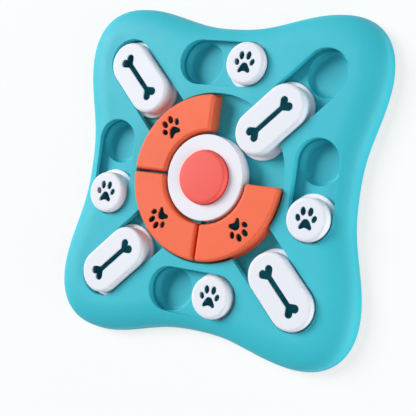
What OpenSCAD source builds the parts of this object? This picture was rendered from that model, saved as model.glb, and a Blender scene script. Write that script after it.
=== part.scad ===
// Dog puzzle feeder: a four-lobed board with a turning centre of three covers,
// four bone sliders in corner channels, four paw sliders in side slots and a
// squeaker button. All sizes are in millimetres. The board lies flat, +Z up.

/* [Board] */
// Centre to the middle of a side
waist_r = 129.6; // [127:0.2:134]
// Centre to the tip of a corner lobe
lobe_r = 186.7; // [182:0.2:192]
// Second wave of the outline, which fills the lobes out
square_r = 4.3; // [3:0.1:5]
// Height of the flat top above the ground
board_h = 20; // [19:0.5:21]
// Height where the straight rim turns into the shoulder
shoulder_z = 6; // [5:0.5:8]
// Width of the rounded shoulder
shoulder_in = 25; // [20:1:28]
// How far the rim flares out at its foot
rim_flare = 1.5; // [0.5:0.25:2]
// Wall of the top shell
shell_wall = 2.5; // [2:0.25:3]
// Height of the board's open foot above the ground
rim_foot_z = 1; // [0.6:0.2:1.4]

/* [Openings] */
// Radius of the round centre opening
centre_r = 72.6; // [72.4:0.1:73.5]
// Half width of a corner channel
channel_r = 21; // [20.6:0.2:22]
// Centre to the middle of a channel's round end
channel_reach = 133.3; // [131:0.2:135]
// Half width of a side slot
slot_r = 19.2; // [19:0.1:20]
// Centre to the middle line of a side slot
slot_reach = 98.4; // [98:0.2:99]
// Half the distance between the two end centres of a slot
slot_half = 23.3; // [22:0.1:24]
// Underside of the lip that holds the sliders down
lip_z = 14; // [13.8:0.1:14.4]

/* [Tray] */
// Top of the tray's floor
floor_z = 10.5; // [10:0.25:10.7]
// Thickness of the tray
tray_t = 2; // [1.6:0.2:2.4]
// Radius of a treat well
well_r = 18.5; // [17:0.25:18.5]
// Depth of a treat well below the floor
well_depth = 5.3; // [4.6:0.1:5.3]

/* [Sliders] */
// Top of every slider
slider_top = 26; // [25:0.5:28]
// Radius of a paw slider's cap
paw_cap_r = 18; // [17:0.25:18.5]
// Radius of a paw slider's flange
paw_flange_r = 21.6; // [21:0.1:21.8]
// Half width of a bone slider's cap
bone_cap_r = 19.2; // [18.5:0.1:20]
// Half length of a bone slider's cap
bone_cap_half = 35; // [33:0.5:36]
// Half width of a bone slider's flange
bone_flange_r = 23.5; // [23:0.1:23.7]
// Half length of a bone slider's flange
bone_flange_half = 37.8; // [36.5:0.1:38]
// Centre to the upper right bone slider, pulled in beside the hub
bone_in = 75.6; // [75.6:0.1:77]
// Centre to the three bone sliders that stand outside
bone_out = [114, 115.5, 118]; // [110.5:0.5:118.5]

// Distance of the bottom paw slider from its slot's end
paw_back = 2; // [0:0.5:6]

/* [Rotor] */
// Outer radius of a sector cover
sector_r = 70.8; // [70.7:0.1:71.4]
// Inner radius of a sector cover
sector_in_r = 39.6; // [39:0.1:41]
// Top of the sector covers
sector_top = 26; // [25:0.25:27]
// Outer radius of the hub ring
hub_r = 36.7; // [36.5:0.1:37]
// Top of the hub ring
hub_top = 24.9; // [24.9:0.1:25.9]
// Radius of the squeaker button
button_r = 22.6; // [22.5:0.1:22.8]
// Top of the squeaker button
button_top = 31; // [31:0.2:32]

/* [Hidden] */
$fn = 96;
// Overlap of solids that are joined or cut
eps = 0.5;

teal = "#47c1d0";
coral = "#ff785a";
white = "#f0f0f8";
grey = "#8a9299";
rubber = "#3c4044";

// Board outline
rim_points = 88;
rim_gather = 8;
shoulder_steps = 7;
rim_mid = (waist_r + lobe_r) / 2 - square_r;
rim_swing = (lobe_r - waist_r) / 2;

// Tray and bottom cover
tray_inset = 5.2;
cover_inset = 2.2;
cover_z = 1.2;
cover_t = 2;
guide_top = 12.7;
pocket_gap = 0.6;
pocket_wall = 1.6;
pocket_channel = bone_flange_r + pocket_gap - channel_r;
pocket_slot = paw_flange_r + pocket_gap - slot_r;
pocket_centre = 1;
well_round = 4;
well_wall = 1.8;

// Case screws and feet
screw_x = 120;
screw_y = 62;
screw_r = 1.25;
head_r = 2.9;
head_h = 1.8;
boss_r = 4.5;
pilot_depth = 6;
screw_l = 12.5;
screw_free = 0.4;
pad_r = 5.2;
pad_top = 5;
screw_seat_z = 3.5;
foot_r = 6.5;
foot_h = 2;
foot_lobe = 166;
foot_side = 100;

// Centre post and its retainer
post_r = 20;
post_bore_r = 15.5;
post_top = 17.6;
retainer_r = 21.7;
retainer_t = 1.3;
post_screw_ring = 17.75;
post_screws = 3;
small_screw_r = 1.05;
small_screw_l = 7;
small_hole_r = 1.3;
small_head_r = 2.1;
small_head_h = 1.2;

// Rotor
run_gap = 0.05;
carrier_z = 11;
carrier_t = 2.2;
sleeve_r = 22.5;
sleeve_top = 17.2;
lobe_out_r = 47.5;
sector_gap = 1.2;
sector_wall = 2;
sector_skin = 1.6;
sector_edge = 2.6;
skirt_r = 71.9;
skirt_h = 1.8;
sector_screw_ring = 44.6;
sector_screw_turn = 22;
sector_boss_r = 2.8;
hub_hole_r = 23.1;
hub_round = 1;
carrier_inset = 1.3;
hub_plate = 2.2;
peg_r = 1.6;
peg_ring = 31.6;
peg_turn = 60;

// Button and squeaker
button_wall = 2;
button_foot = 21.2;
button_flange_r = 26;
button_flange_h = 1.2;
button_side_top = 27.3;
button_round = 3;
button_crown = 0.7;
guide_r = 15.2;
guide_foot = 14.5;
bulb_top = 28.7;
bulb_r = 12;
bulb_fold = 1.6;
bulb_wall = 1.2;
reed_r = 4;

// Sliders
slider_foot = 10.8;
flange_h = 2.6;
slider_wall = 2;
slider_top_t = 1.5;
slider_round = 3;

// Cut-outs
paw_shift = -4.2;
sector_paw_r = 51;
bone_knob_x = 19.5;
bone_knob_y = 3.4;
bone_knob_r = 3.6;
bone_shaft = 4.9;

// ---- outline of the board ----

function rim_radius(a) = rim_mid - rim_swing * cos(4 * a) + square_r * cos(8 * a);
function rim_slope(a) = 4 * rim_swing * sin(4 * a) - 8 * square_r * sin(8 * a);

// Angles of the outline's points, gathered where the lobes bend most
function rim_angle(i) = 360 * i / rim_points + rim_gather * sin(1440 * i / rim_points);

// Point of the outline at angle a, moved inwards along its normal
function rim_point(a, inset) =
    let (r = rim_radius(a), s = rim_slope(a), n = sqrt(r * r + s * s))
    let (out = r - inset * r / n, side = inset * s / n)
    [out * cos(a) - side * sin(a), out * sin(a) + side * cos(a)];

module rim2d(inset) {
    polygon([for (i = [0 : rim_points - 1]) rim_point(rim_angle(i), inset)]);
}

// Solid through a stack of outlines; each level is [height, inset]
module rim_loft(levels) {
    n = rim_points;
    top = len(levels) - 1;
    points = [for (l = levels) for (i = [0 : n - 1])
        let (p = rim_point(rim_angle(i), l[1])) [p[0], p[1], l[0]]];
    sides = [for (k = [0 : top - 1]) for (i = [0 : n - 1])
        let (j = (i + 1) % n) [k * n + i, (k + 1) * n + i, (k + 1) * n + j, k * n + j]];
    floor_face = [for (i = [0 : n - 1]) i];
    top_face = [for (i = [n - 1 : -1 : 0]) top * n + i];
    polyhedron(points, concat([floor_face], sides, [top_face]));
}

// Levels of the straight rim and the elliptical shoulder, for a skin of thickness t
function board_levels(t, foot) = concat(
    [[foot, t - rim_flare], [shoulder_z, t]],
    [for (k = [1 : shoulder_steps]) let (a = 90 * k / shoulder_steps)
        [shoulder_z + (board_h - t - shoulder_z) * sin(a),
         t + (shoulder_in - t) * (1 - cos(a))]]);

// ---- repeated shapes ----

// Flat stadium along X
module stadium2d(r, half) {
    for (s = [-1, 1]) translate([s * half, 0]) circle(r);
    square([2 * half, 2 * r], center = true);
}

// Centre opening, corner channels and side slots, each grown by its margin
module centre2d(grow) {
    circle(centre_r + grow);
}

module channels2d(grow) {
    for (k = [0 : 3]) rotate(45 + 90 * k)
        translate([channel_reach / 2, 0]) stadium2d(channel_r + grow, channel_reach / 2);
}

module slots2d(grow) {
    for (k = [0 : 3]) rotate(90 * k)
        translate([slot_reach, 0]) rotate(90) stadium2d(slot_r + grow, slot_half);
}

module openings2d(centre, channel, slot) {
    centre2d(centre);
    channels2d(channel);
    slots2d(slot);
}

// Solid of revolution stretched along X by 2 * half; the child is its profile
module stretched(half) {
    for (s = [-1, 1]) translate([s * half, 0, 0]) rotate_extrude() children();
    if (half > 0) translate([-half, 0, 0]) rotate([90, 0, 90]) linear_extrude(2 * half) {
        children();
        mirror([1, 0]) children();
    }
}

// Profile of a plug of radius r from foot to top with a rounded upper edge
module plug2d(r, foot, top, edge) {
    polygon(concat([[0, foot], [r, foot]],
        [for (a = [0 : 9 : 90]) [r - edge + edge * cos(a), top - edge + edge * sin(a)]],
        [[0, top]]));
}

module tube(outer, inner, low, high) {
    difference() {
        translate([0, 0, low]) cylinder(r = outer, h = high - low);
        translate([0, 0, low - eps]) cylinder(r = inner, h = high - low + 2 * eps);
    }
}

module screw_places() {
    for (k = [0 : 3]) rotate(90 * k) for (s = [-1, 1]) translate([screw_x, s * screw_y, 0]) children();
}

module foot_places() {
    for (k = [0 : 3]) {
        rotate(45 + 90 * k) translate([foot_lobe, 0, 0]) children();
        rotate(90 * k) translate([foot_side, 0, 0]) children();
    }
}

module post_screw_places() {
    for (k = [0 : post_screws - 1]) rotate(360 * k / post_screws + 90)
        translate([post_screw_ring, 0, 0]) children();
}

// Cross-recess screw whose head lies below z = 0 and whose shank stands above it
module screw(shank_r, length, cap_r, cap_h) {
    translate([0, 0, -0.01]) cylinder(r = shank_r, h = length, $fn = 32);
    difference() {
        translate([0, 0, -cap_h]) cylinder(r = cap_r, h = cap_h, $fn = 32);
        for (a = [0, 90]) rotate(a) translate([0, 0, -cap_h])
            cube([cap_r * 1.2, cap_r * 0.28, cap_h], center = true);
    }
}

// ---- cut-outs ----

module toe2d(x, y, rx, ry, lean) {
    translate([x, y]) rotate(lean)
        polygon([for (a = [0 : 15 : 345]) [rx * cos(a), ry * sin(a)]]);
}

// Paw with its toes towards +Y and its pad at the origin
module paw2d() {
    translate([0, 1]) circle(3.4, $fn = 48);
    for (s = [-1, 1]) {
        translate([s * 3.8, -2.2]) circle(2, $fn = 48);
        toe2d(s * 3.3, 10.4, 2.5, 3.6, -s * 8);
        toe2d(s * 7.2, 4.9, 2.3, 3.1, -s * 26);
    }
    polygon([[-2.9, 2.8], [-5.6, -1.4], [-3.4, -3.4], [0, -2.6], [3.4, -3.4], [5.6, -1.4], [2.9, 2.8]]);
}

// Bone along X
module bone2d() {
    // Tangents at 45 degrees join the shaft to the knobs
    side = bone_knob_r * sin(45);
    neck = bone_knob_x - bone_knob_y - bone_knob_r / sin(45) + bone_shaft / 2;
    square([2 * bone_knob_x, bone_shaft], center = true);
    for (a = [0, 180]) rotate(a) {
        for (t = [-1, 1]) translate([bone_knob_x, t * bone_knob_y]) circle(bone_knob_r, $fn = 48);
        polygon([
            [neck, bone_shaft / 2], [neck, -bone_shaft / 2],
            [bone_knob_x - side, -bone_knob_y - side], [bone_knob_x, -bone_knob_y],
            [bone_knob_x + 0.9, 0], [bone_knob_x, bone_knob_y], [bone_knob_x - side, bone_knob_y + side]
        ]);
    }
}

// ---- board ----

module top_shell() {
    color(teal) difference() {
        rim_loft(board_levels(0, rim_foot_z));
        // The cavity leaves the lips round the openings and the screw bosses standing
        difference() {
            rim_loft(board_levels(shell_wall, rim_foot_z - eps));
            translate([0, 0, lip_z]) linear_extrude(board_h)
                openings2d(pocket_centre + pocket_wall, pocket_channel + pocket_wall,
                           pocket_slot + pocket_wall);
            screw_places() translate([0, 0, floor_z]) cylinder(r = boss_r, h = board_h);
        }
        translate([0, 0, floor_z]) linear_extrude(board_h) openings2d(0, 0, 0);
        screw_places() translate([0, 0, floor_z - eps]) cylinder(r = screw_r + run_gap, h = pilot_depth);
    }
}

// Outside and inside of a treat well below the floor
module well_cup() {
    translate([0, 0, floor_z - well_depth - well_wall])
        cylinder(r = well_r + well_wall, h = well_depth + well_wall - eps);
}

module well_hollow() {
    rotate_extrude() polygon(concat([[0, floor_z + eps], [0, floor_z - well_depth]],
        [for (a = [-90 : 15 : 0]) [well_r - well_round + well_round * cos(a),
            floor_z - well_depth + well_round + well_round * sin(a)]],
        [[well_r, floor_z + eps]]));
}

module well_places() {
    for (k = [0 : 3]) {
        rotate(45 + 90 * k) translate([channel_reach, 0, 0]) children();
        for (s = [-1, 1]) rotate(90 * k) translate([slot_reach, s * slot_half, 0]) children();
    }
}

module well_tray() {
    color(teal) difference() {
        union() {
            translate([0, 0, floor_z - tray_t]) linear_extrude(tray_t) rim2d(tray_inset);
            translate([0, 0, floor_z - eps]) linear_extrude(guide_top - floor_z + eps) difference() {
                openings2d(pocket_centre + pocket_wall, pocket_channel + pocket_wall,
                           pocket_slot + pocket_wall);
                openings2d(pocket_centre, pocket_channel, pocket_slot);
            }
            well_places() well_cup();
            tube(post_r, post_bore_r, floor_z - eps, post_top);
            screw_places() translate([0, 0, pad_top]) cylinder(r = boss_r, h = floor_z - tray_t - pad_top + eps);
        }
        well_places() well_hollow();
        screw_places() translate([0, 0, pad_top - eps]) cylinder(r = screw_r + screw_free, h = floor_z);
        translate([0, 0, floor_z - tray_t - eps]) cylinder(r = reed_r + 0.1, h = tray_t + 2 * eps);
        post_screw_places() translate([0, 0, floor_z + eps]) cylinder(r = small_screw_r + run_gap, h = post_top);
    }
}

module bottom_cover() {
    color(teal) difference() {
        union() {
            translate([0, 0, cover_z]) linear_extrude(cover_t) rim2d(cover_inset);
            screw_places() translate([0, 0, cover_z]) cylinder(r = pad_r, h = pad_top - cover_z);
        }
        screw_places() {
            translate([0, 0, cover_z - eps]) cylinder(r = head_r + screw_free, h = screw_seat_z - cover_z + eps);
            cylinder(r = screw_r + screw_free, h = board_h);
        }
        foot_places() cylinder(r = foot_r + 0.05, h = foot_h);
    }
}

module rubber_feet() {
    color(rubber) foot_places() rotate_extrude() polygon([[0, 0], [foot_r - 0.6, 0], [foot_r, 0.6],
        [foot_r, foot_h], [0, foot_h]]);
}

module case_screws() {
    color(grey) screw_places() translate([0, 0, screw_seat_z]) screw(screw_r, screw_l, head_r, head_h);
}

// ---- centre ----

module post_retainer() {
    color(grey) difference() {
        tube(retainer_r, post_bore_r + 0.1, post_top, post_top + retainer_t);
        post_screw_places() cylinder(r = small_hole_r, h = board_h);
    }
}

module retainer_screws() {
    color(grey) post_screw_places() translate([0, 0, post_top + retainer_t])
        mirror([0, 0, 1]) screw(small_screw_r, small_screw_l, small_head_r, small_head_h);
}

// Folded rubber wall: the radius swings in and out twice over the height
function bulb_out(t) = bulb_r - bulb_fold * (1 - cos(720 * t)) / 2;

module squeaker_bulb() {
    steps = 24;
    span = bulb_top - floor_z;
    color(white) rotate_extrude() difference() {
        polygon(concat([[0, floor_z]],
            [for (i = [0 : steps]) [bulb_out(i / steps), floor_z + span * i / steps]],
            [[0, bulb_top]]));
        polygon(concat([[0, floor_z + bulb_wall]],
            [for (i = [2 : steps - 2]) [bulb_out(i / steps) - bulb_wall, floor_z + span * i / steps]],
            [[0, bulb_top - bulb_wall]]));
    }
}

module squeaker_reed() {
    color(grey) translate([0, 0, floor_z - tray_t + 0.2]) cylinder(r = reed_r, h = tray_t - 0.3);
}

// Quadrant x, y > g, the room of one sector
module quadrant(g) {
    translate([g, g, 0]) cube([90, 90, 40]);
}

// One copy per sector, in the three covered quadrants
module covered() {
    for (k = [1 : 3]) rotate(90 * k) children();
}

module sector_screw_places() {
    rotate(45) for (s = [-1, 1]) rotate(s * sector_screw_turn)
        translate([sector_screw_ring, 0, 0]) children();
}

module rotor_carrier() {
    color(teal) difference() {
        union() {
            translate([0, 0, carrier_z]) cylinder(r = hub_r - carrier_inset, h = carrier_t);
            covered() intersection() {
                translate([0, 0, carrier_z]) cylinder(r = lobe_out_r, h = carrier_t);
                quadrant(sector_gap + sector_wall + 0.3);
            }
            translate([0, 0, carrier_z]) cylinder(r = sleeve_r, h = sleeve_top - carrier_z);
        }
        cylinder(r = post_r + run_gap, h = board_h);
        for (k = [0 : 2]) rotate(peg_turn + 120 * k) translate([peg_ring, 0, 0])
            cylinder(r = peg_r + run_gap, h = board_h);
        covered() sector_screw_places() {
            cylinder(r = small_hole_r, h = board_h);
            translate([0, 0, carrier_z - eps]) cylinder(r = small_head_r + 0.1, h = small_head_h + eps);
        }
    }
}

module hub_ring() {
    foot = carrier_z + carrier_t;
    under = hub_top - hub_plate;
    color(white) {
        rotate_extrude() difference() {
            plug2d(hub_r, foot, hub_top, hub_round);
            square([hub_hole_r, hub_top + eps]);
            translate([button_flange_r + 2.4, 0]) square([6.5, under]);
            translate([hub_hole_r - eps, 0]) square([button_flange_r + 0.6 - hub_hole_r + eps, under]);
        }
        for (k = [0 : 2]) rotate(peg_turn + 120 * k) translate([peg_ring, 0, carrier_z + 0.4])
            cylinder(r = peg_r, h = under + eps - carrier_z - 0.4);
    }
}

// Section of a sector cover, outside and inside
module sector2d() {
    polygon(concat(
        [[sector_in_r, carrier_z]],
        [for (a = [180 : -15 : 90]) [sector_in_r + sector_edge + sector_edge * cos(a),
            sector_top - sector_edge + sector_edge * sin(a)]],
        [for (a = [90 : -15 : 0]) [sector_r - sector_edge + sector_edge * cos(a),
            sector_top - sector_edge + sector_edge * sin(a)]],
        [[sector_r, carrier_z + skirt_h], [skirt_r, carrier_z + skirt_h], [skirt_r, carrier_z]]));
}

module sector_hollow2d() {
    w = sector_wall;
    polygon([[sector_in_r + w, 0], [sector_in_r + w, sector_top - w - 1.5],
        [sector_in_r + w + 1.5, sector_top - w], [sector_r - sector_skin - 1.5, sector_top - w],
        [sector_r - sector_skin, sector_top - w - 1.5], [sector_r - sector_skin, 0]]);
}

// What the rounded top edge of a sector's end at y = sector_gap takes away
module end_edge() {
    low = sector_top - sector_edge;
    rotate([90, 0, 90]) linear_extrude(90) polygon(concat(
        [[sector_gap - 1.2, low], [sector_gap, low]],
        [for (a = [165 : -15 : 90]) [sector_gap + sector_edge + sector_edge * cos(a), low + sector_edge * sin(a)]],
        [[sector_gap + sector_edge, sector_top + 1.2], [sector_gap - 1.2, sector_top + 1.2]]));
}

module sector_cover(turn) {
    color(coral) rotate(turn) difference() {
        union() {
            difference() {
                intersection() {
                    rotate_extrude() sector2d();
                    quadrant(sector_gap);
                }
                intersection() {
                    rotate_extrude() sector_hollow2d();
                    quadrant(sector_gap + sector_wall);
                }
                intersection() {
                    cylinder(r = lobe_out_r + 0.3, h = carrier_z + carrier_t);
                    quadrant(sector_gap + sector_wall);
                }
                end_edge();
                mirror([1, -1, 0]) end_edge();
            }
            sector_screw_places() translate([0, 0, carrier_z + carrier_t])
                cylinder(r = sector_boss_r, h = sector_top - 1 - carrier_z - carrier_t);
        }
        sector_screw_places() cylinder(r = small_screw_r, h = carrier_z + small_screw_l + 1.6);
        rotate(45) translate([sector_paw_r, 0, 0]) rotate(-90) linear_extrude(board_h * 2) paw2d();
    }
}

module sector_screws() {
    color(grey) covered() sector_screw_places() translate([0, 0, carrier_z + small_head_h])
        screw(small_screw_r - run_gap, small_screw_l, small_head_r - 0.2, small_head_h - 0.1);
}

module press_button() {
    inner = button_r - button_wall;
    roof = button_top - button_wall;
    color(coral) rotate_extrude() difference() {
        polygon(concat(
            [[0, button_foot], [button_flange_r, button_foot],
             [button_flange_r, button_foot + button_flange_h], [button_r, button_foot + button_flange_h]],
            [for (a = [0 : 15 : 75]) [button_r - button_round + button_round * cos(a),
                button_side_top + button_round * sin(a)]],
            [for (i = [9 : -1 : 0]) let (r = 17.9 * i / 9) [r, button_top - button_crown * pow(r / 19.4, 2)]]));
        translate([guide_r, 0]) square([inner - guide_r, roof - 0.8]);
        square([guide_r, roof]);
    }
    color(coral) tube(guide_r, guide_r - button_wall, guide_foot, roof + eps);
}

// ---- sliders ----

module bone_slider(quarter, reach) {
    color(white) rotate(45 + 90 * quarter) translate([reach, 0, 0]) difference() {
        union() {
            stretched(bone_cap_half - bone_cap_r)
                plug2d(bone_cap_r, slider_foot, slider_top, slider_round);
            stretched(bone_flange_half - bone_flange_r)
                plug2d(bone_flange_r, slider_foot, slider_foot + flange_h, 0.8);
        }
        stretched(bone_cap_half - bone_cap_r)
            plug2d(bone_cap_r - slider_wall, slider_foot - eps, slider_top - slider_top_t, 1.5);
        linear_extrude(board_h * 2) bone2d();
    }
}

// side counts quarters from the right slot; end is the end of the slot it stands at,
// and back is how far it stands off that end
module paw_slider(side, end, back = 0) {
    color(white) rotate(90 * side) translate([slot_reach, end * (slot_half - back), 0]) difference() {
        rotate_extrude() difference() {
            union() {
                plug2d(paw_cap_r, slider_foot, slider_top, slider_round);
                plug2d(paw_flange_r, slider_foot, slider_foot + flange_h, 0.8);
            }
            plug2d(paw_cap_r - slider_wall, slider_foot - eps, slider_top - slider_top_t, 1.5);
        }
        rotate(-90 * side) translate([0, paw_shift, 0]) linear_extrude(board_h * 2) paw2d();
    }
}

top_shell();
well_tray();
bottom_cover();
rubber_feet();
case_screws();
post_retainer();
retainer_screws();
squeaker_bulb();
squeaker_reed();
rotor_carrier();
hub_ring();
sector_cover(90);  // sector_cover_ul
sector_cover(180);  // sector_cover_ll
sector_cover(270);  // sector_cover_lr
sector_screws();
press_button();
bone_slider(0, bone_in);  // bone_slider_ur
bone_slider(1, bone_out[0]);  // bone_slider_ul
bone_slider(2, bone_out[1]);  // bone_slider_ll
bone_slider(3, bone_out[2]);  // bone_slider_lr
paw_slider(0, -1);  // paw_slider_right
paw_slider(1, -1);  // paw_slider_top
paw_slider(2, 1);  // paw_slider_left
paw_slider(3, 1, paw_back);  // paw_slider_bottom
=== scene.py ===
"""Dog puzzle feeder: a lobed board with sliding caps, a turning centre and a squeaker button."""

import math

import bmesh
import bpy
from bpy.props import FloatProperty, FloatVectorProperty, PointerProperty
from bpy.types import Operator, Panel, PropertyGroup
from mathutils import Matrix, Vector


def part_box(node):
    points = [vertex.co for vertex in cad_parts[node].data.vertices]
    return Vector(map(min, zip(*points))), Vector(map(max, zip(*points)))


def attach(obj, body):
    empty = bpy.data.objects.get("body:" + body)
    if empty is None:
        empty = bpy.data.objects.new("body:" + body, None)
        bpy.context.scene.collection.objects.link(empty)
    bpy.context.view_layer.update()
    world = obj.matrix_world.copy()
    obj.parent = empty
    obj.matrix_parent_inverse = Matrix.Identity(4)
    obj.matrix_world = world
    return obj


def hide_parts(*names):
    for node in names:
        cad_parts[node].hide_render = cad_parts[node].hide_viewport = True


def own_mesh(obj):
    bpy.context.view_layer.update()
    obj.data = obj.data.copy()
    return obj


bl_info = {
    "name": "Dog puzzle feeder",
    "version": (1, 0, 0),
    "blender": (4, 5, 0),
    "location": "3D View > Sidebar > Feeder",
    "description": "Models and finishes a treat puzzle board for dogs",
    "category": "Add Mesh",
}

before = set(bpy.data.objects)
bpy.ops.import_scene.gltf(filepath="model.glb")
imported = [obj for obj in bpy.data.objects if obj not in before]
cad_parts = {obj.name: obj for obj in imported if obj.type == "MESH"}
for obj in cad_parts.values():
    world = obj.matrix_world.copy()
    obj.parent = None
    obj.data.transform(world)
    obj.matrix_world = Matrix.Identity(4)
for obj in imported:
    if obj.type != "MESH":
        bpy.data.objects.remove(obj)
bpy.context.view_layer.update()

MM = 0.001
QUARTER = math.pi / 2
DIAGONAL = math.pi / 4

# How far a piece reaches into the one that it is joined to, or past the one that it is cut from
OVERLAP = 0.5 * MM

# How far below its face, or below the lip under that face, the cutter of an opening starts
CUT_DEPTH = 5 * MM

# Rounding of the mouths in the sliders, and how far the cutter of a paw or bone runs on past it
CUT_EDGE = 0.2 * MM
CUT_RUN = 0.3 * MM

# How far the inner and the outer side of a guide wall stand back from the edge of its opening,
# round the centre, along the channels and round the slots; the shell's lip ends at the outer side
CENTRE_GUIDE = (1 * MM, 2.6 * MM)
CHANNEL_GUIDE = (3.1 * MM, 4.7 * MM)
SLOT_GUIDE = (3 * MM, 4.6 * MM)

# Points round the board's outline, and how far they gather where the lobes bend
RIM_POINTS = 288
RIM_GATHER = math.radians(8)

# Points round a circle or a stadium, and round the opening of a slot
ROUND_POINTS = 128
SLOT_POINTS = 96

# Turns of a rounded mouth, which leaves its surface at the last turn's slope
MOUTH_TURNS = [math.radians(a) for a in (0, 20, 40, 60, 80)]


def to_linear(code):
    """Linear red, green and blue of an sRGB hex colour."""
    parts = [int(code[i:i + 2], 16) / 255 for i in (1, 3, 5)]
    return [c / 12.92 if c <= 0.04045 else ((c + 0.055) / 1.055) ** 2.4 for c in parts]


def length(name, text, size_mm):
    """A length property with its default in millimetres."""
    return FloatProperty(name=name, description=text, default=size_mm * MM, min=0, unit="LENGTH", precision=5)


def colour(name, text, code):
    """A colour property with its default as an sRGB hex colour."""
    return FloatVectorProperty(
        name=name, description=text, default=to_linear(code), min=0, max=1, subtype="COLOR")


class FeederBoard(PropertyGroup):
    """Sizes of the board: its shell, openings and tray."""

    waist: length("Waist", "Centre to the middle of a side", 129.6)
    lobe: length("Lobe", "Centre to the tip of a corner lobe", 186.7)
    square: length("Fullness", "Second wave of the outline, which fills the lobes out", 4.3)
    height: length("Height", "Height of the flat top", 20)
    shoulder_z: length("Shoulder height", "Height where the rim turns into the shoulder", 6)
    shoulder_w: length("Shoulder width", "Width of the rounded shoulder", 25)
    flare: length("Flare", "How far the rim flares out at its foot", 1.39)
    foot: length("Rim foot", "Height of the rim's lower edge", 1)
    skin: length("Skin", "Wall of the shell", 2.5)
    centre: length("Centre opening", "Radius of the round centre opening", 72.6)
    channel: length("Channel", "Half width of a corner channel", 21)
    channel_reach: length("Channel reach", "Centre to the middle of a channel's end", 133.3)
    slot: length("Slot", "Half width of a side slot", 19.2)
    slot_reach: length("Slot reach", "Centre to the middle line of a side slot", 98.4)
    slot_half: length("Slot half", "Half the distance between a slot's end centres", 23.3)
    lip: length("Lip", "Height of the lip's underside", 14)
    floor: length("Tray floor", "Height of the tray's floor", 10.5)
    tray: length("Tray thickness", "Thickness of the tray", 2)
    well: length("Well", "Radius of a treat well", 18.5)
    well_depth: length("Well depth", "Depth of a well below the floor", 5.3)
    well_round: length("Well rounding", "Rounding of a well's bottom", 4)
    slot_edge: length("Slot edge", "Rounding of a slot's mouth", 0.9)
    cross_edge: length("Channel edge", "Rounding of the centre opening and channels", 0.45)


class FeederSliders(PropertyGroup):
    """Sizes of the sliding caps."""

    foot: length("Foot", "Height of a slider's underside", 10.8)
    top: length("Top", "Height of a slider's top", 26)
    flange: length("Flange", "Thickness of the flange", 2.6)
    wall: length("Wall", "Wall of the cap", 2)
    roof: length("Roof", "Thickness of the cap's top", 1.5)
    edge: length("Edge", "Rounding of the cap's upper edge", 3)
    paw_cap: length("Paw cap", "Radius of a paw slider's cap", 18)
    paw_flange: length("Paw flange", "Radius of a paw slider's flange", 21.6)
    paw_back: length("Bottom paw", "Distance of the bottom paw slider from its slot's end", 2)
    bone_cap: length("Bone cap", "Half width of a bone slider's cap", 19.2)
    bone_half: length("Bone half", "Half length of a bone slider's cap", 35)
    bone_flange: length("Bone flange", "Half width of a bone slider's flange", 23.5)
    bone_flange_half: length("Bone flange half", "Half length of a bone slider's flange", 37.8)
    bone_ur: length("Upper right reach", "Centre to the bone slider beside the hub", 75.6)
    bone_ul: length("Upper left reach", "Centre to the upper left bone slider", 114)
    bone_ll: length("Lower left reach", "Centre to the lower left bone slider", 115.5)
    bone_lr: length("Lower right reach", "Centre to the lower right bone slider", 118)


class FeederRotor(PropertyGroup):
    """Sizes of the turning centre and its button."""

    sector: length("Sector", "Outer radius of a sector cover", 70.8)
    sector_in: length("Sector inside", "Inner radius of a sector cover", 39.6)
    sector_top: length("Sector top", "Height of the sector covers", 26)
    sector_edge: length("Sector edge", "Rounding of a sector cover's upper edges", 2.6)
    skirt: length("Skirt", "Outer radius of the skirt", 71.9)
    foot: length("Sector foot", "Height of the skirt's underside", 11)
    gap: length("Gap", "Half the gap between two sector covers", 1.2)
    hub: length("Hub ring", "Outer radius of the hub ring", 36.7)
    hub_hole: length("Hub hole", "Radius of the hole for the button", 23.1)
    hub_top: length("Hub top", "Height of the hub ring", 24.9)
    button: length("Button", "Radius of the squeaker button", 22.6)
    button_top: length("Button top", "Height of the squeaker button", 31)


class FeederFinish(PropertyGroup):
    """Colours of the finishes."""

    teal: colour("Teal", "Teal ABS of the board", "#38C2D1")
    coral: colour("Orange", "Orange ABS of the sector covers", "#FF6E45")
    button: colour("Coral", "Coral ABS of the button", "#FF6258")
    white: colour("White", "White ABS of the sliders and hub ring", "#F1F0F6")
    rubber: colour("Rubber", "Grey rubber of the feet", "#3C4044")
    floor: colour("Floor", "Floor of the stage", "#F7F7F7")


def work_on(obj):
    """Makes obj the one selected and active object."""
    bpy.ops.object.select_all(action="DESELECT")
    bpy.context.view_layer.objects.active = obj
    obj.select_set(True)


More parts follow.
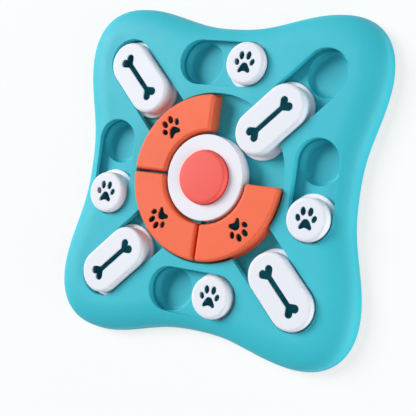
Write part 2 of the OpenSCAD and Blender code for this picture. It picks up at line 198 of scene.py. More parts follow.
def lofted(name, rings, shut=False):
    """A new mesh: a circle of vertices set on the first ring and extruded through the others.

    Its ends are filled, or with shut, the last ring is joined to the first.
    """
    count = len(rings[0])
    bpy.ops.object.select_all(action="DESELECT")
    bpy.ops.mesh.primitive_circle_add(vertices=count, radius=1, fill_type="NOTHING")
    obj = bpy.context.object
    obj.name = name
    bpy.ops.object.mode_set(mode="EDIT")
    bpy.ops.mesh.select_mode(type="EDGE")
    shape = bmesh.from_edit_mesh(obj.data)
    shape.verts.ensure_lookup_table()
    order = list(range(count))
    for i, place in zip(order, rings[0]):
        shape.verts[i].co = place
    for ring in rings[1:] + ([rings[0]] if shut else []):
        bpy.ops.mesh.select_all(action="DESELECT")
        shape = bmesh.from_edit_mesh(obj.data)
        shape.verts.ensure_lookup_table()
        for i, j in zip(order, order[1:] + order[:1]):
            shape.edges.get((shape.verts[i], shape.verts[j])).select_set(True)
        bpy.ops.mesh.extrude_edges_indiv()
        shape = bmesh.from_edit_mesh(obj.data)
        shape.verts.ensure_lookup_table()
        fresh = {tuple(v.co): v.index for v in shape.verts[-count:]}
        order = [fresh[tuple(shape.verts[i].co)] for i in order]
        for i, place in zip(order, ring):
            shape.verts[i].co = place
        bmesh.update_edit_mesh(obj.data)
    bpy.ops.mesh.select_mode(type="VERT")
    if shut:
        bpy.ops.mesh.select_all(action="SELECT")
        bpy.ops.mesh.remove_doubles(threshold=0.001 * MM)
    else:
        for end in (list(range(count)), order):
            bpy.ops.mesh.select_all(action="DESELECT")
            shape = bmesh.from_edit_mesh(obj.data)
            shape.verts.ensure_lookup_table()
            for i in end:
                shape.verts[i].select_set(True)
            shape.select_flush(True)
            bpy.ops.mesh.edge_face_add()
    bpy.ops.mesh.select_all(action="SELECT")
    bpy.ops.mesh.normals_make_consistent(inside=False)
    bpy.ops.object.mode_set(mode="OBJECT")
    return obj


def combine(target, tool, how="DIFFERENCE"):
    """Cuts tool out of target, or joins it on, and removes the tool."""
    work_on(target)
    step = target.modifiers.new("combine", "BOOLEAN")
    step.operation = how
    step.solver = "EXACT"
    step.object = tool
    bpy.ops.object.modifier_apply(modifier=step.name)
    bpy.data.objects.remove(tool)


def joined(name, pieces):
    """Pieces as one mesh object."""
    work_on(pieces[0])
    for piece in pieces[1:]:
        piece.select_set(True)
    if len(pieces) > 1:
        bpy.ops.object.join()
    pieces[0].name = name
    return pieces[0]


def moved(piece, turn=0.0, shift=(0, 0, 0)):
    """The piece, turned about Z and moved, with its place in its mesh."""
    work_on(piece)
    piece.rotation_euler = (0, 0, turn)
    piece.location = shift
    bpy.ops.object.transform_apply(location=True, rotation=True)
    return piece


def copied(piece, name, turn=0.0, shift=(0, 0, 0)):
    """A copy with its own mesh, turned about Z and moved."""
    work_on(piece)
    bpy.ops.object.duplicate()
    copy = bpy.context.object
    copy.name = name
    return moved(copy, turn, shift)


def quarters(piece, name):
    """Copies of a piece at the four quarter turns; the piece itself is used up."""
    copies = [copied(piece, name, k * QUARTER) for k in range(4)]
    bpy.data.objects.remove(piece)
    return copies


def spread(piece, name, spots):
    """Copies of a piece at the spots, as one mesh; the piece itself is used up."""
    copies = [copied(piece, name, 0, (x, y, 0)) for x, y in spots]
    bpy.data.objects.remove(piece)
    return joined(name, copies)


def finished(piece, material, body, nodes=(), angle=40):
    """Smooths and finishes a piece, and puts it on its body in place of its CAD nodes."""
    work_on(piece)
    bpy.ops.object.mode_set(mode="EDIT")
    bpy.ops.mesh.select_all(action="SELECT")
    bpy.ops.mesh.remove_doubles(threshold=0.004 * MM)
    bpy.ops.mesh.dissolve_degenerate(threshold=0.002 * MM)
    bpy.ops.object.mode_set(mode="OBJECT")
    bpy.ops.object.shade_smooth_by_angle(angle=math.radians(angle), keep_sharp_edges=False)
    step = piece.modifiers.new("flat faces stay flat", "WEIGHTED_NORMAL")
    step.keep_sharp = True
    step.weight = 80
    bpy.ops.object.modifier_apply(modifier=step.name)
    piece.data.materials.clear()
    piece.data.materials.append(material)
    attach(piece, body)
    if nodes:
        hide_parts(*nodes)
    return piece


# Outlines, as lists of x and y

def board_outline(board, inset, count=RIM_POINTS):
    """Outline of the board, moved inwards by the inset."""
    mid = (board.waist + board.lobe) / 2 - board.square
    swing = (board.lobe - board.waist) / 2
    points = []
    for i in range(count):
        t = 2 * math.pi * i / count
        a = t + RIM_GATHER * math.sin(4 * t)
        r = mid - swing * math.cos(4 * a) + board.square * math.cos(8 * a)
        slope = 4 * swing * math.sin(4 * a) - 8 * board.square * math.sin(8 * a)
        n = math.hypot(r, slope)
        out, side = r - inset * r / n, inset * slope / n
        points.append((out * math.cos(a) - side * math.sin(a), out * math.sin(a) + side * math.cos(a)))
    return points


def round_outline(radius, half=0.0, count=ROUND_POINTS):
    """Circle, or with a half length, a stadium along X."""
    points = []
    for i in range(count):
        a = 2 * math.pi * (i + 0.5) / count
        x = radius * math.cos(a)
        points.append((x + math.copysign(half, x), radius * math.sin(a)))
    return points


def polar(reach, turn):
    """Point at a reach from the centre and a turn from +X."""
    return reach * math.cos(turn), reach * math.sin(turn)


def placed(points, turn):
    """Points turned about the centre."""
    c, s = math.cos(turn), math.sin(turn)
    return [(x * c - y * s, x * s + y * c) for x, y in points]


def slot_outline(board, grow):
    """Outline of the right slot."""
    return [(board.slot_reach - y, x) for x, y in
            round_outline(board.slot + grow, board.slot_half, SLOT_POINTS)]


def cross_outline(board, centre_grow, channel_grow):
    """Outline of the round centre opening with its four corner channels."""
    centre, channel = board.centre + centre_grow, board.channel + channel_grow
    lean = math.asin(channel / centre)
    arc_steps, run_steps, end_steps = 24, 7, 40
    points = []
    for k in range(4):
        arc = [-DIAGONAL + lean + (QUARTER - 2 * lean) * i / arc_steps for i in range(arc_steps + 1)]
        part = [polar(centre, a) for a in arc]
        start = centre * math.cos(lean)
        run = [start + (board.channel_reach - start) * i / run_steps for i in range(1, run_steps)]
        end = [math.radians(-90 + 180 * i / end_steps) for i in range(end_steps + 1)]
        arm = [(u, -channel) for u in run]
        arm += [(board.channel_reach + channel * math.cos(a), channel * math.sin(a)) for a in end]
        arm += [(u, channel) for u in reversed(run)]
        points += placed(part + placed(arm, DIAGONAL), k * QUARTER)
    return points


def toe_outline(grow, x, y, rx, ry, lean, count=28):
    """One toe of a paw."""
    points = []
    for i in range(count):
        a = 2 * math.pi * (i + 0.5) / count
        u, v = (rx * MM + grow) * math.cos(a), (ry * MM + grow) * math.sin(a)
        c, s = math.cos(math.radians(lean)), math.sin(math.radians(lean))
        points.append((x * MM + u * c - v * s, y * MM + u * s + v * c))
    return points


def smooth_loop(knots, steps):
    """Closed curve through the knots."""
    points = []
    n = len(knots)
    for i in range(n):
        p0, p1, p2, p3 = (knots[(i + k) % n] for k in (-1, 0, 1, 2))
        for j in range(steps):
            t = j / steps
            points.append(tuple(
                0.5 * (2 * b + (c - a) * t + (2 * a - 5 * b + 4 * c - d) * t ** 2
                       + (3 * b - a - 3 * c + d) * t ** 3)
                for a, b, c, d in zip(p0, p1, p2, p3)))
    return points


def grown(points, grow):
    """Outline that runs anticlockwise, moved outwards."""
    n = len(points)
    outer = []
    for i, (x, y) in enumerate(points):
        u = points[(i + 1) % n][0] - points[i - 1][0]
        v = points[(i + 1) % n][1] - points[i - 1][1]
        w = math.hypot(u, v)
        outer.append((x + grow * v / w, y - grow * u / w))
    return outer


# Right half of a paw's pad in millimetres, from its top to its bottom
PAD_KNOTS = [(0, 4.5), (1.8, 4.1), (3.2, 2.9), (4.6, 0.6), (5.8, -1.7), (5.7, -3.3), (4.5, -4.2), (3.0, -3.8),
             (1.5, -3.0), (0, -2.7)]

# A paw's right toes: their middle and half sizes in millimetres, and how many degrees they lean
TOES = [(3.3, 10.4, 2.5, 3.6, -8), (7.2, 4.9, 2.3, 3.1, -26)]


def pad_outline(grow):
    """Pad of a paw, anticlockwise from its top."""
    left = [(-x * MM, y * MM) for x, y in PAD_KNOTS]
    right = [(x * MM, y * MM) for x, y in PAD_KNOTS[1:-1]]
    return grown(smooth_loop(left + right[::-1], 4), grow)


def bone_outline(grow):
    """Bone along X, with heads that spread from the shaft to their two knobs."""
    knob, shaft = 3.6 * MM + grow, 2.45 * MM + grow
    kx, ky, steps = 19.5 * MM, 3.4 * MM, 24
    first, last = 3 * math.pi / 4, -math.asin(min(1.0, ky / knob))
    arc = [first + (last - first) * i / steps for i in range(steps + 1)]
    upper = [(kx - ky - knob * math.sqrt(2) + shaft, shaft)]
    upper += [(kx + knob * math.cos(a), ky + knob * math.sin(a)) for a in arc]
    right = upper + [(x, -y) for x, y in reversed(upper[:-1])]
    return [(-x, -y) for x, y in reversed(right)] + list(reversed(right))


def flat(height):
    """Surface at one height."""
    return lambda x, y: height


def mouth_cutter(name, outline, low, surface, flare, run=1 * MM):
    """Cutter with an upright wall that flares into a rounded mouth at the surface."""
    rings = [[(x, y, low) for x, y in outline(0)]]
    for turn in MOUTH_TURNS:
        rings.append([(x, y, surface(x, y) - flare * (1 - math.sin(turn)))
                      for x, y in outline(flare * (1 - math.cos(turn)))])
    rise = run * math.tan(QUARTER - MOUTH_TURNS[-1]) - flare * (1 - math.sin(MOUTH_TURNS[-1]))
    last = outline(flare * (1 - math.cos(MOUTH_TURNS[-1])) + run)
    headroom = 4 * MM
    for extra in (0, headroom):
        rings.append([(x, y, surface(x, y) + rise + extra) for x, y in last])
    return lofted(name, rings)


def paw_cutter(name, low, top, flare):
    """Cutter for a paw with its pad at the centre and its toes towards +Y."""
    parts = [mouth_cutter("pad", pad_outline, low, flat(top), flare, CUT_RUN)]
    for x, y, rx, ry, lean in TOES:
        for s in (1, -1):
            toe = (s * x, y, rx, ry, s * lean)
            parts.append(mouth_cutter("toe", lambda grow, toe=toe: toe_outline(grow, *toe),
                                      low, flat(top), flare, CUT_RUN))
    return joined(name, parts)


def turned(name, profile, shut=False, count=ROUND_POINTS):
    """Solid of revolution through a profile of radius, height and, for a stadium, half length."""
    rings = [[(x, y, p[1]) for x, y in round_outline(p[0], p[2] if len(p) > 2 else 0.0, count)]
             for p in profile]
    return lofted(name, rings, shut)


def corner(r, z, radius, first, last, steps=6):
    """Points of a rounded corner about a centre, between two angles in degrees."""
    turns = [math.radians(first + (last - first) * i / steps) for i in range(steps + 1)]
    return [(r + radius * math.cos(a), z + radius * math.sin(a)) for a in turns]


# Materials

def add_node(tree, kind, inputs=None, **settings):
    """Adds a node, sets its settings, and sets or links its inputs."""
    node = tree.nodes.new(kind)
    for name, value in settings.items():
        setattr(node, name, value)
    for key, value in (inputs or {}).items():
        if isinstance(value, bpy.types.NodeSocket):
            tree.links.new(value, node.inputs[key])
        else:
            node.inputs[key].default_value = value
    return node


def blank(name):
    """A new material, its node tree, its shader and its object coordinates."""
    material = bpy.data.materials.new(name)
    material.use_nodes = True
    tree = material.node_tree
    place = add_node(tree, "ShaderNodeTexCoord").outputs["Object"]
    return material, tree, tree.nodes["Principled BSDF"], place


def noise(tree, place, size, detail):
    """Factor of a noise that varies over about the given size."""
    node = add_node(tree, "ShaderNodeTexNoise", {"Vector": place, "Scale": 1 / size, "Detail": detail})
    return node.outputs["Fac"]


def tinted(tree, shader, factor, first, second):
    """Mixes the colour from the first to the second by the factor."""
    mix = add_node(tree, "ShaderNodeMix", {0: factor, 6: (*first, 1), 7: (*second, 1)}, data_type="RGBA")
    tree.links.new(mix.outputs[2], shader.inputs["Base Color"])


def grained(tree, shader, factor, strength, depth):
    """Bumps the surface by the factor."""
    bump = add_node(tree, "ShaderNodeBump", {"Height": factor, "Strength": strength, "Distance": depth})
    tree.links.new(bump.outputs["Normal"], shader.inputs["Normal"])


def moulded_abs(name, base, shade, roughness):
    """Injection-moulded ABS: an even opaque colour with a satin gloss from a finely etched mould."""
    material, tree, shader, place = blank(name)
    # The pigment clouds over a few centimetres where the melt flowed
    tinted(tree, shader, noise(tree, place, 45 * MM, 2.0), [c * shade for c in base], base)
    # Etched grain of 0.6 mm, coarser than the real 0.1 mm so that it shows
    grained(tree, shader, noise(tree, place, 0.6 * MM, 3.0), 0.12, 0.05 * MM)
    # Handling polishes the gloss unevenly
    gloss = add_node(tree, "ShaderNodeMapRange",
                     {"Value": noise(tree, place, 14 * MM, 4.0), "From Min": 0.3, "From Max": 0.7,
                      "To Min": roughness - 0.03, "To Max": roughness + 0.04})
    tree.links.new(gloss.outputs["Result"], shader.inputs["Roughness"])
    shader.inputs["IOR"].default_value = 1.53
    shader.inputs["Specular IOR Level"].default_value = 0.35
    return material


def moulded_rubber(name, base):
    """Soft moulded rubber: matt, slightly chalky, with a fine grain."""
    material, tree, shader, place = blank(name)
    grain = noise(tree, place, 0.8 * MM, 4.0)
    tinted(tree, shader, grain, [c * 0.8 for c in base], [c * 1.2 for c in base])
    grained(tree, shader, grain, 0.3, 0.08 * MM)
    shader.inputs["Roughness"].default_value = 0.75
    return material


def plated_steel(name):
    """Zinc-plated steel: grey metal with a slight haze in its colour and gloss."""
    material, tree, shader, place = blank(name)
    haze = noise(tree, place, 1.2 * MM, 3.0)
    tinted(tree, shader, haze, to_linear("#9FA3A8"), to_linear("#C9CCD0"))
    gloss = add_node(tree, "ShaderNodeMapRange", {"Value": haze, "To Min": 0.25, "To Max": 0.45})
    tree.links.new(gloss.outputs["Result"], shader.inputs["Roughness"])
    shader.inputs["Metallic"].default_value = 1.0
    return material


def finish_of(name):
    """The named finish, made the first time that it is asked for."""
    if name in bpy.data.materials:
        return bpy.data.materials[name]
    tints = bpy.context.scene.feeder_finish
    if name == "plated steel":
        return plated_steel(name)
    if name == "moulded rubber":
        return moulded_rubber(name, list(tints.rubber))
    if name == "squeaker rubber":
        return moulded_rubber(name, to_linear("#DAD8D0"))
    base = {"teal ABS": tints.teal, "orange ABS": tints.coral, "coral ABS": tints.button,
            "white ABS": tints.white}[name]
    shade = 0.975 if name == "white ABS" else 0.95
    return moulded_abs(name, list(base), shade, roughness=0.58)


# Pieces

def board_rings(board, skin, foot, steps=22):
    """Rings of the board's rim and shoulder for a skin of that thickness."""
    levels = [(foot, skin - board.flare), (board.shoulder_z, skin)]
    for k in range(1, steps + 1):
        a = QUARTER * k / steps
        levels.append((board.shoulder_z + (board.height - skin - board.shoulder_z) * math.sin(a),
                       skin + (board.shoulder_w - skin) * (1 - math.cos(a))))
    return [[(x, y, z) for x, y in board_outline(board, inset)] for z, inset in levels]


def shoulder_surface(board):
    """Height of the board's top over a point, from its distance to the outline."""
    rim = board_outline(board, 0, 5 * RIM_POINTS)
    width = board.shoulder_w

    def height(x, y):
        inset = min((math.hypot(x - u, y - v) for u, v in rim if abs(x - u) < width and abs(y - v) < width),
                    default=width)
        if inset >= width:
            return board.height
        a = math.acos(1 - inset / width)
        return board.shoulder_z + (board.height - board.shoulder_z) * math.sin(a)

    return height


def prism(name, outline, low, high):
    """Upright prism."""
    return lofted(name, [[(x, y, z) for x, y in outline] for z in (low, high)])


class FEEDER_OT_shell(Operator):
    """Model the moulded top shell with its rounded shoulder and openings"""

    bl_idname = "feeder.shell"
    bl_label = "Top shell"

    def execute(self, context):
        board = context.scene.feeder_board
        shell = lofted("moulded_shell", board_rings(board, 0, board.foot))
        cavity = lofted("cavity", board_rings(board, board.skin, board.foot - OVERLAP, 12))
        # The cavity leaves a thick lip round the openings
        high = board.height * 2
        outline = cross_outline(board, CENTRE_GUIDE[1], CHANNEL_GUIDE[1])
        combine(cavity, prism("lip", outline, board.lip, high))
        lip = prism("lip", slot_outline(board, SLOT_GUIDE[1]), board.lip, high)
        for part in quarters(lip, "lip"):
            combine(cavity, part)
        combine(shell, cavity)
        low = board.lip - CUT_DEPTH
        combine(shell, mouth_cutter("cross", lambda grow: cross_outline(board, grow, grow),
                                    low, flat(board.height), board.cross_edge))
        slot = mouth_cutter("slot", lambda grow: slot_outline(board, grow),
                            low, shoulder_surface(board), board.slot_edge)
        combine(shell, joined("slots", quarters(slot, "slots")))
        finished(shell, finish_of("teal ABS"), "base", ["top_shell"])
        return {"FINISHED"}


class FEEDER_OT_tray(Operator):
    """Model the tray with its treat wells, guide walls and centre post"""

    bl_idname = "feeder.tray"
    bl_label = "Well tray"

    def execute(self, context):
        board = context.scene.feeder_board
        low, bottom = board.floor - board.tray, board.floor - board.well_depth
        rim_inset, wall, flare = 5.2 * MM, 1.8 * MM, 0.55 * MM
        tray = prism("treat_tray", board_outline(board, rim_inset), low, board.floor)
        spots = []
        for k in range(4):
            spots.append(polar(board.channel_reach, DIAGONAL + k * QUARTER))
            spots += placed([(board.slot_reach, s * board.slot_half) for s in (-1, 1)], k * QUARTER)
        # A cup under each well, and then the well in it
        cup_foot, outside = board.well - 2 * MM, board.well + wall
        cup = [(cup_foot, bottom - wall), (outside, bottom), (outside, low + OVERLAP)]
        combine(tray, spread(turned("cup", cup), "cups", spots), "UNION")
        r, z = board.well - board.well_round, bottom + board.well_round
        profile = corner(r, z, board.well_round, -90, 0, 8)
        for turn in MOUTH_TURNS:
            out, down = flare * (1 - math.cos(turn)), flare * (1 - math.sin(turn))
            profile.append((board.well + out, board.floor - down))
        brim, brim_rise, headroom = board.well + 1.4 * MM, 0.16 * MM, 3 * MM
        profile += [(brim, board.floor + brim_rise), (brim, board.floor + headroom)]
        combine(tray, spread(turned("well", profile, count=96), "wells", spots))
        # The guide walls' four edges, by side and height, and then the post
        foot, top = board.floor - OVERLAP, 12.7 * MM
        edges = ((0, foot), (0, top), (1, top), (1, foot))
        cross = [[(x, y, z) for x, y in cross_outline(board, CENTRE_GUIDE[i], CHANNEL_GUIDE[i])]
                 for i, z in edges]
        slot = [[(x, y, z) for x, y in slot_outline(board, SLOT_GUIDE[i])] for i, z in edges]
        walls = [lofted("guide", cross, shut=True)]
        walls += quarters(lofted("guide", slot, shut=True), "guide")
        bore, post, post_top = 15.5 * MM, 20 * MM, 17.6 * MM
        profile = [(bore, foot), (bore, post_top), (post, post_top), (post, foot)]
        walls.append(turned("post", profile, shut=True))
        for piece in walls:
            combine(tray, piece, "UNION")
        finished(tray, finish_of("teal ABS"), "base", ["well_tray"])
        return {"FINISHED"}


def slider(name, cap, flange, cap_half=0.0, flange_half=0.0):
    """A capped slider at the centre, hollow from below."""
    sizes = bpy.context.scene.feeder_sliders
    top, foot, edge = sizes.top, sizes.foot, sizes.edge
    inner, roof, ledge = cap - sizes.wall, top - sizes.roof, foot + sizes.flange
    round_inside, soft, small, nick = 1.5 * MM, 0.8 * MM, 0.3 * MM, 0.1 * MM
    hollow = corner(inner - round_inside, roof - round_inside, round_inside, 90, 0, 3) + [(inner, foot)]
    brim = corner(flange - small, foot + small, small, -90, 0, 2)
    brim += corner(flange - soft, ledge - soft, soft, 0, 90, 4)
    outside = [(cap + small, ledge), (cap + nick, ledge + nick), (cap, ledge + small)]
    outside += corner(cap - edge, top - edge, edge, 0, 90, 8)
    profile = []
    for part, half in ((hollow, cap_half), (brim, flange_half), (outside, cap_half)):
        profile += [(r, z, half) for r, z in part]
    return turned(name, profile)


class FEEDER_OT_paw_sliders(Operator):
    """Model the round sliders with a paw cut-out, one in each side slot"""

    bl_idname = "feeder.paw_sliders"
    bl_label = "Paw sliders"

    def execute(self, context):
        board, sizes = context.scene.feeder_board, context.scene.feeder_sliders
        cap = slider("paw_cap", sizes.paw_cap, sizes.paw_flange)
        paw_middle = 4.2 * MM
        tool = paw_cutter("paw", sizes.top - CUT_DEPTH, sizes.top, CUT_EDGE)
        combine(cap, moved(tool, shift=(0, -paw_middle, 0)))
        # Each side, and the end of its slot at which the slider stands
        spots = {"right": (1, 0, -1), "top": (0, 1, 1), "left": (-1, 0, -1), "bottom": (0, -1, 1)}
        for side, (x, y, end) in spots.items():
            along = end * (board.slot_half - (sizes.paw_back if side == "bottom" else 0))
            shift = (x * board.slot_reach + abs(y) * along, y * board.slot_reach + abs(x) * along, 0)
            piece = copied(cap, "paw_cap_" + side, 0, shift)
            finished(piece, finish_of("white ABS"), "paw_" + side, ["paw_slider_" + side])
        bpy.data.objects.remove(cap)
        return {"FINISHED"}


class FEEDER_OT_bone_sliders(Operator):
    """Model the long sliders with a bone cut-out, one in each corner channel"""

    bl_idname = "feeder.bone_sliders"
    bl_label = "Bone sliders"

    def execute(self, context):
        sizes = context.scene.feeder_sliders
        top = sizes.top
        cap = slider("bone_cap", sizes.bone_cap, sizes.bone_flange, sizes.bone_half - sizes.bone_cap,
                     sizes.bone_flange_half - sizes.bone_flange)
        combine(cap, mouth_cutter("bone", bone_outline, top - CUT_DEPTH, flat(top), CUT_EDGE, CUT_RUN))
        reaches = {"ur": sizes.bone_ur, "ul": sizes.bone_ul, "ll": sizes.bone_ll, "lr": sizes.bone_lr}
        for k, (place, reach) in enumerate(reaches.items()):
            turn = DIAGONAL + k * QUARTER
            piece = copied(cap, "bone_cap_" + place, turn, (*polar(reach, turn), 0))
            finished(piece, finish_of("white ABS"), "bone_" + place,
                     ["bone_slider_" + place])
        bpy.data.objects.remove(cap)
        return {"FINISHED"}


def sector_outline(rotor, outer, inset):
    """Outline of a quarter cover with rounded corners, moved inwards by the inset."""
    round_r = 2.7 * MM
    side = rotor.gap + round_r
    far, near = outer - round_r, rotor.sector_in + round_r
    out_x, in_x = math.sqrt(far ** 2 - side ** 2), math.sqrt(near ** 2 - side ** 2)
    out_a, in_a = math.atan2(side, out_x), math.atan2(side, in_x)
    # Each arc's middle, radius, first and last angle, and steps
    arcs = (((0, 0), outer - inset, out_a, QUARTER - out_a, 48),
            ((side, out_x), round_r - inset, QUARTER - out_a, math.pi, 8),
            ((side, in_x), round_r - inset, math.pi, 3 * QUARTER - in_a, 8),
            ((0, 0), rotor.sector_in + inset, QUARTER - in_a, in_a, 32),
            ((in_x, side), round_r - inset, math.pi + in_a, 3 * QUARTER, 8),
            ((out_x, side), round_r - inset, -QUARTER, out_a, 8))
    points = []
    for (x, y), r, first, last, steps in arcs:
        for i in range(steps):
            a = first + (last - first) * i / steps
            points.append((x + r * math.cos(a), y + r * math.sin(a)))
    return points


class FEEDER_OT_sector_covers(Operator):
    """Model the three quarter covers with their rounded edges and paw cut-outs"""

    bl_idname = "feeder.sector_covers"
    bl_label = "Sector covers"

    def execute(self, context):
        rotor = context.scene.feeder_rotor
        top, low, edge = rotor.sector_top, rotor.foot, rotor.sector_edge
        skirt, wall, thinner, paw_edge, paw_reach = 1.8 * MM, 2 * MM, 0.4 * MM, 0.25 * MM, 51 * MM
        ledge = low + skirt
        levels = [(rotor.skirt, 0, low), (rotor.skirt, 0, ledge), (rotor.sector, 0, ledge)]
        for r, z in corner(0, top - edge, edge, 0, 90, 7):
            levels.append((rotor.sector, edge - r, z))
        cover = lofted("sector", [[(x, y, z) for x, y in sector_outline(rotor, outer, inset)]
                                  for outer, inset, z in levels])
        # The hollow's outer wall is thinner than its other walls
        inside = sector_outline(rotor, rotor.sector + thinner, wall)
        combine(cover, prism("hollow", inside, low - 1 * MM, top - wall))
        tool = paw_cutter("paw", top - CUT_DEPTH, top, paw_edge)
        reach = paw_reach * math.cos(DIAGONAL)
        combine(cover, moved(tool, -DIAGONAL, (reach, reach, 0)))
        for k, place in ((1, "ul"), (2, "ll"), (3, "lr")):
            piece = copied(cover, "quarter_cover_" + place, k * QUARTER)
            finished(piece, finish_of("orange ABS"), "rotor", ["sector_cover_" + place], 35)
        bpy.data.objects.remove(cover)
        return {"FINISHED"}


class FEEDER_OT_hub(Operator):
    """Model the hub ring and the squeaker button inside it"""

    bl_idname = "feeder.hub"
    bl_label = "Hub ring and button"

    def execute(self, context):
        rotor = context.scene.feeder_rotor
        foot, top, plate = 13.2 * MM, rotor.hub_top, 2.2 * MM
        outer_edge, inner_edge = 1 * MM, 0.9 * MM
        profile = [(rotor.hub - plate, foot), (rotor.hub, foot)]
        profile += corner(rotor.hub - outer_edge, top - outer_edge, outer_edge, 0, 90, 6)
        profile += corner(rotor.hub_hole + inner_edge, top - inner_edge, inner_edge, 90, 180, 5)
        profile += [(rotor.hub_hole, top - plate), (rotor.hub - plate, top - plate)]
        ring = turned("hub_top_ring", profile, shut=True)
        finished(ring, finish_of("white ABS"), "rotor", ["hub_ring"])
        # The button: its guide tube, the corner under its roof, its flange, its side and its crown
        wall, soft, bevel, edge, side_top = 2 * MM, 0.8 * MM, 1.6 * MM, 3 * MM, 27.3 * MM
        guide, guide_foot = 15.2 * MM, 14.5 * MM
        flange, low, ledge = 26 * MM, 21.2 * MM, 1.2 * MM
        crown, crown_reach, crown_rings, outer_ring, ring_step = 0.7 * MM, 19.4 * MM, 11, 19.0, 1.8
        inner, roof = rotor.button - wall, rotor.button_top - wall
        profile = [(guide - wall, roof), (guide - wall, guide_foot), (guide, guide_foot),
                   (guide, roof - soft), (inner - soft, roof - soft), (inner, roof - bevel),
                   (inner, low), (flange, low), (flange, low + ledge), (rotor.button, low + ledge)]
        profile += corner(rotor.button - edge, side_top, edge, 0, 75, 8)
        for i in range(crown_rings):
            r = (outer_ring - ring_step * i) * MM
            profile.append((r, rotor.button_top - crown * (r / crown_reach) ** 2))
        button = turned("squeak_button", profile)
        finished(button, finish_of("coral ABS"), "button", ["press_button"])
        return {"FINISHED"}


class FEEDER_OT_bulb(Operator):
    """Model the hollow folded bulb of the squeaker, which the button flattens"""

    bl_idname = "feeder.bulb"
    bl_label = "Squeaker bulb"

    def execute(self, context):
        low, top = (point.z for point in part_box("squeaker_bulb"))
        widest, fold_depth, wall, middle, steps = 12 * MM, 0.8 * MM, 1.2 * MM, 1 * MM, 24
        outside = []
        # Two folds over its height
        for i in range(steps + 1):
            fold = fold_depth * (1 - math.cos(4 * math.pi * i / steps))
            outside.append((widest - fold, low + (top - low) * i / steps))
        inside = [(r - wall, z) for r, z in outside[2:-2]]
        inside = [(middle, low + wall)] + inside + [(middle, top - wall)]
        bulb = turned("rubber_bulb", outside, count=64)
        combine(bulb, turned("air", inside, count=64))
        finished(bulb, finish_of("squeaker rubber"), "base", ["squeaker_bulb"])
        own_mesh(bulb)
        return {"FINISHED"}


class FEEDER_OT_underside(Operator):
    """Model the bottom cover and its rubber feet"""

    bl_idname = "feeder.underside"
    bl_label = "Bottom cover and feet"

    def execute(self, context):
        board = context.scene.feeder_board
        # The cover by inset and height: its lower edge, the end of its bevel and its top
        levels = ((2.7 * MM, 1.2 * MM), (2.2 * MM, 1.7 * MM), (2.2 * MM, 3.2 * MM))
        cover = lofted("base_cover", [[(x, y, z) for x, y in board_outline(board, inset)]
                                      for inset, z in levels])
        lobe_foot, side_foot, screw_out, screw_side = 166 * MM, 100 * MM, 120 * MM, 62 * MM
        feet, screws = [], []
        for k in range(4):
            feet.append(polar(lobe_foot, DIAGONAL + k * QUARTER))
            feet.append(polar(side_foot, k * QUARTER))
            screws += placed([(screw_out, s * screw_side) for s in (-1, 1)], k * QUARTER)
        # Seats for the screws' heads and rests for the feet, by radius and height
        seat = [(3.9 * MM, 0.5 * MM), (3.9 * MM, 1.2 * MM), (3.3 * MM, 1.8 * MM), (3.3 * MM, 2.9 * MM)]
        rest = [(6.65 * MM, 0.5 * MM), (6.65 * MM, 2.05 * MM)]
        combine(cover, spread(turned("seat", seat, count=48), "seats", screws))
        combine(cover, spread(turned("rest", rest, count=48), "rests", feet))
        finished(cover, finish_of("teal ABS"), "base", ["bottom_cover"])
        # A foot by radius and height: a dimple, the sole round it and a rounded edge
        profile = [(2.4 * MM, 0.5 * MM), (3.6 * MM, 0.45 * MM), (4.2 * MM, 0.05 * MM), (4.6 * MM, 0)]
        profile += [(5.7 * MM, 0)] + corner(5.9 * MM, 0.6 * MM, 0.6 * MM, -60, 0, 3) + [(6.5 * MM, 2 * MM)]
        pads = spread(turned("foot", profile, count=64), "foot_pads", feet)
        finished(pads, finish_of("moulded rubber"), "base", ["rubber_feet"])
        return {"FINISHED"}


class FEEDER_OT_inner_parts(Operator):
    """Give the parts inside the board and hub their finishes"""

    bl_idname = "feeder.inner_parts"
    bl_label = "Inner parts"

    def execute(self, context):
        finishes = {
            "case_screws": "plated steel", "post_retainer": "plated steel", "retainer_screws": "plated steel",
            "sector_screws": "plated steel", "squeaker_reed": "squeaker rubber", "rotor_carrier": "teal ABS",
        }
        for node, finish in finishes.items():
            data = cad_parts[node].data
            data.materials.clear()
            data.materials.append(finish_of(finish))
        return {"FINISHED"}


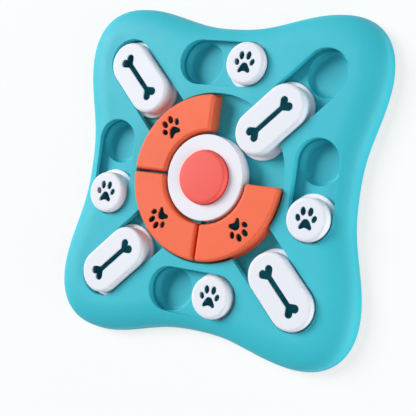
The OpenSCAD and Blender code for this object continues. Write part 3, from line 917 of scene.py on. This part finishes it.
class FEEDER_OT_stage(Operator):
    """Set up the floor, the soft lights and the camera"""

    bl_idname = "feeder.stage"
    bl_label = "Stage"

    def execute(self, context):
        scene = context.scene
        bpy.ops.object.select_all(action="DESELECT")
        bpy.ops.mesh.primitive_plane_add(size=8)
        floor = context.object
        floor.name = "studio_floor"
        material = bpy.data.materials.new("matt paper")
        material.use_nodes = True
        tree = material.node_tree
        shader = tree.nodes["Principled BSDF"]
        shader.inputs["Base Color"].default_value = (*scene.feeder_finish.floor, 1)
        shader.inputs["Roughness"].default_value = 0.9
        shader.inputs["Specular IOR Level"].default_value = 0.1
        # Nearly white to the eye, in gloss and through glass; the floor's light on the board stays plain
        whiteness = 0.72
        path = add_node(tree, "ShaderNodeLightPath").outputs
        seen = path["Is Camera Ray"]
        for ray in ("Is Glossy Ray", "Is Transmission Ray"):
            seen = add_node(tree, "ShaderNodeMath", {0: seen, 1: path[ray]}, operation="MAXIMUM").outputs[0]
        share = add_node(tree, "ShaderNodeMath", {0: seen, 1: whiteness}, operation="MULTIPLY")
        glow = add_node(tree, "ShaderNodeEmission", {"Strength": 1.0})
        blend = add_node(tree, "ShaderNodeMixShader",
                         {0: share.outputs[0], 1: shader.outputs["BSDF"], 2: glow.outputs["Emission"]})
        tree.links.new(blend.outputs["Shader"], tree.nodes["Material Output"].inputs["Surface"])
        floor.data.materials.append(material)

        world = bpy.data.worlds.new("studio room")
        world.use_nodes = True
        world.node_tree.nodes["Background"].inputs["Color"].default_value = (0.72, 0.88, 1, 1)
        world.node_tree.nodes["Background"].inputs["Strength"].default_value = 0.24
        scene.world = world

        lamps = (("window softbox", (-3.6, 1.22, 2.83), 2.4, 2.4, 250),
                 ("side fill", (1.5, -0.45, 0.75), 1.2, 0.8, 9),
                 ("low strip", (1.4, -0.3, 0.12), 1.4, 0.16, 9))
        for name, place, wide, high, power in lamps:
            data = bpy.data.lights.new(name, "AREA")
            data.shape = "RECTANGLE"
            data.size, data.size_y = wide, high
            data.energy = power
            lamp = bpy.data.objects.new(name, data)
            scene.collection.objects.link(lamp)
            lamp.location = place
            turn = lamp.location.to_track_quat("Z", "Y")
            lamp.rotation_euler = turn.to_euler()

        data = bpy.data.cameras.new("viewpoint")
        data.lens = 87.482
        data.sensor_width = 36
        camera = bpy.data.objects.new("viewpoint", data)
        scene.collection.objects.link(camera)
        camera.location = (434.88 * MM, -27.34 * MM, 755.45 * MM)
        camera.rotation_euler = [math.radians(a) for a in (4.8118, 29.9651, 9.2594)]
        scene.camera = camera
        scene.view_settings.view_transform = "Standard"
        return {"FINISHED"}


STEPS = (
    FEEDER_OT_shell, FEEDER_OT_tray, FEEDER_OT_underside, FEEDER_OT_hub, FEEDER_OT_bulb,
    FEEDER_OT_sector_covers, FEEDER_OT_bone_sliders, FEEDER_OT_paw_sliders, FEEDER_OT_inner_parts,
    FEEDER_OT_stage,
)
GROUPS = {
    "feeder_board": FeederBoard, "feeder_sliders": FeederSliders, "feeder_rotor": FeederRotor,
    "feeder_finish": FeederFinish,
}


class FEEDER_PT_panel(Panel):
    """Sizes, colours and steps of the feeder"""

    bl_idname = "FEEDER_PT_panel"
    bl_label = "Dog puzzle feeder"
    bl_space_type = "VIEW_3D"
    bl_region_type = "UI"
    bl_category = "Feeder"

    def draw(self, context):
        for step in STEPS:
            self.layout.operator(step.bl_idname)
        for key, group in GROUPS.items():
            column = self.layout.column(align=True)
            for name in group.__annotations__:
                column.prop(getattr(context.scene, key), name)


def register():
    """Registers the sizes, the steps and the panel."""
    for kind in (*GROUPS.values(), *STEPS, FEEDER_PT_panel):
        bpy.utils.register_class(kind)
    for key, group in GROUPS.items():
        setattr(bpy.types.Scene, key, PointerProperty(type=group))


def unregister():
    """Takes back what register added."""
    for key in GROUPS:
        delattr(bpy.types.Scene, key)
    for kind in reversed((*GROUPS.values(), *STEPS, FEEDER_PT_panel)):
        bpy.utils.unregister_class(kind)


def main():
    """Runs every step."""
    register()
    for step in STEPS:
        group, name = step.bl_idname.split(".")
        getattr(getattr(bpy.ops, group), name)()


if __name__ == "__main__":
    main()
